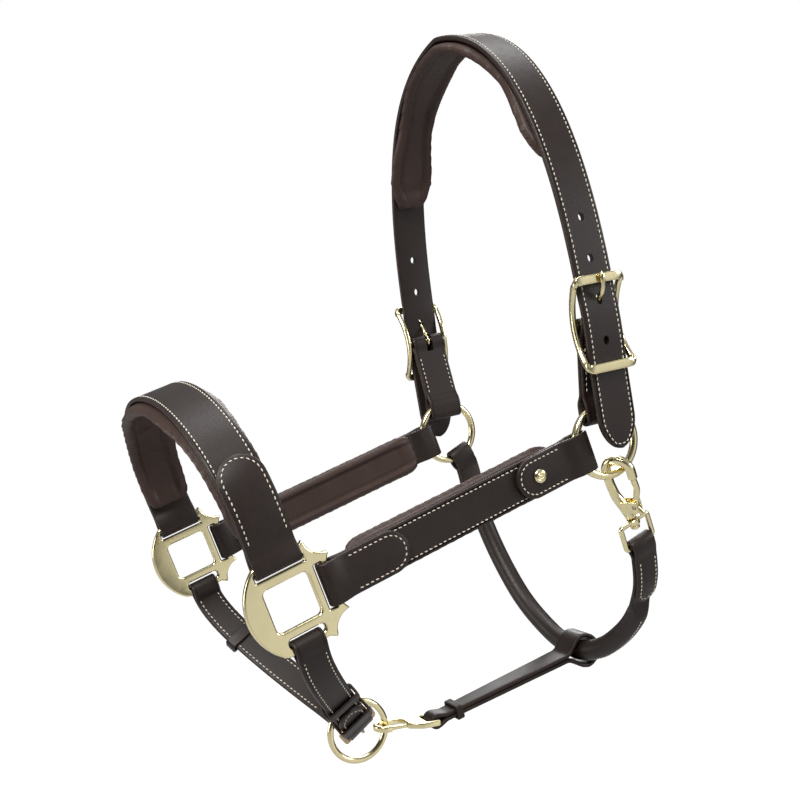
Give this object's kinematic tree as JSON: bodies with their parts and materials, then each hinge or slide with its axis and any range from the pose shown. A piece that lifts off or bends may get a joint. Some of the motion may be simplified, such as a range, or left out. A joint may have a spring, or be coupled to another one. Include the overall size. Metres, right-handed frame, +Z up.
{
  "type": "leather headcollar",
  "caption": "Padded leather headcollar: crown strap, noseband, cheeks, rolled throat strap with a snap, jaw strap clipped to the chin ring, brass squares, rings and buckles.",
  "frame": {"origin": "middle of the crown strap's underside, where it sits on the horse's poll", "axes": "-X towards the nose, -Y towards the horse's near (left) side, +Z up"},
  "size_m": [0.3324, 0.2546, 0.4887],
  "materials": {
    "strap_leather": "smooth near-black brown bridle leather with cream stitching",
    "padding_leather": "soft dark brown padding leather",
    "polished_brass": "polished pale brass",
    "antique_brass": "dull antique brass",
    "pin_steel": "plain steel"
  },
  "bodies": {
    "root": {"noseband_strap": "strap_leather", "noseband_pad": "padding_leather", "chin_strap": "strap_leather", "chin_chape": "strap_leather", "near_chin_keeper": "strap_leather", "off_chin_keeper": "strap_leather", "chin_buckle": "antique_brass", "near_cheek_strap": "strap_leather", "near_cheek_pad": "padding_leather", "near_cheek_stud": "polished_brass", "near_square": "polished_brass", "off_cheek_strap": "strap_leather", "off_cheek_pad": "padding_leather", "off_cheek_stud": "polished_brass", "off_square": "polished_brass"},
    "crown": {"crown_strap": "strap_leather", "crown_pad": "padding_leather", "near_crown_chape": "strap_leather", "near_crown_buckle": "polished_brass", "off_crown_chape": "strap_leather", "off_crown_buckle": "polished_brass"},
    "near_crown_prong": {"near_crown_prong": "polished_brass"},
    "off_crown_prong": {"off_crown_prong": "polished_brass"},
    "near_ring": {"near_ring": "polished_brass"},
    "off_ring": {"off_ring": "polished_brass"},
    "chin_prong": {"chin_prong": "antique_brass"},
    "running_keeper": {"chin_running_keeper": "strap_leather"},
    "chin_ring": {"chin_ring": "polished_brass"},
    "throat": {"throat_strap": "strap_leather", "throat_snap_eye": "polished_brass"},
    "jaw": {"jaw_strap": "strap_leather", "jaw_keeper": "strap_leather", "chin_clip": "polished_brass"},
    "clip_gate": {"chin_clip_gate": "polished_brass"},
    "snap": {"throat_snap_hook": "polished_brass", "snap_gate_pin": "pin_steel"},
    "snap_gate": {"throat_snap_gate": "polished_brass"}
  },
  "joints": [
    {"name": "crown_swing", "type": "hinge", "parent": "root", "child": "crown", "pos_m": [0.05, 0, -0.258], "axis": [0, 1, 0], "range_deg": [-5, 30]},
    {"name": "near_ring_turn", "type": "hinge", "parent": "root", "child": "near_ring", "pos_m": [0.05, -0.103, -0.258], "axis": [0, 1, 0], "continuous": true},
    {"name": "off_ring_turn", "type": "hinge", "parent": "root", "child": "off_ring", "pos_m": [0.05, 0.103, -0.258], "axis": [0, 1, 0], "continuous": true},
    {"name": "near_prong_lift", "type": "hinge", "parent": "crown", "child": "near_crown_prong", "pos_m": [0.03607, -0.1123, -0.18634], "axis": [0.9816, 0, 0.1908], "range_deg": [0, 4]},
    {"name": "off_prong_lift", "type": "hinge", "parent": "crown", "child": "off_crown_prong", "pos_m": [0.03607, 0.1123, -0.18634], "axis": [0.9816, 0, 0.1908], "range_deg": [-4, 0]},
    {"name": "chin_prong_lift", "type": "hinge", "parent": "root", "child": "chin_prong", "pos_m": [-0.08779, -0.03212, -0.43257], "axis": [0.7469, -0.0899, 0.6588], "range_deg": [-4, 0]},
    {"name": "keeper_slide", "type": "slide", "parent": "root", "child": "running_keeper", "axis": [0.493, 0.7464, -0.447], "range_m": [-0.003, 0.003]},
    {"name": "chin_ring_swing", "type": "hinge", "parent": "root", "child": "chin_ring", "pos_m": [-0.07661, 0.00288, -0.44243], "axis": [0, 1, 0], "range_deg": [-8, 8]},
    {"name": "throat_swing", "type": "hinge", "parent": "root", "child": "throat", "pos_m": [0.05, 0, -0.258], "axis": [0, 1, 0], "range_deg": [-0.8, 0.8]},
    {"name": "jaw_swing", "type": "hinge", "parent": "throat", "child": "jaw", "pos_m": [0.101, 0, -0.412], "axis": [0, 1, 0], "range_deg": [-2, 2]},
    {"name": "clip_gate_press", "type": "hinge", "parent": "jaw", "child": "clip_gate", "pos_m": [-0.03664, -0.00107, -0.45011], "axis": [-0.0537, 0, 0.9986], "range_deg": [-10, 0], "stiffness_Nm_per_rad": 0.01, "springref_deg": 5.73},
    {"name": "snap_swivel", "type": "hinge", "parent": "throat", "child": "snap", "pos_m": [0.06018, -0.103, -0.27738], "axis": [0.4564, 0.1871, -0.8699], "range_deg": [-8, 40]},
    {"name": "snap_gate_press", "type": "hinge", "parent": "snap", "child": "snap_gate", "pos_m": [0.07396, -0.10248, -0.29878], "axis": [-0.7404, -0.4624, -0.4879], "range_deg": [0, 20], "stiffness_Nm_per_rad": 0.01, "springref_deg": -5.73}
  ],
  "couplings": [
    {"joint": "throat_swing", "follows": "chin_ring_swing", "ratio": 0.0921},
    {"joint": "jaw_swing", "follows": "chin_ring_swing", "ratio": -0.241}
  ]
}
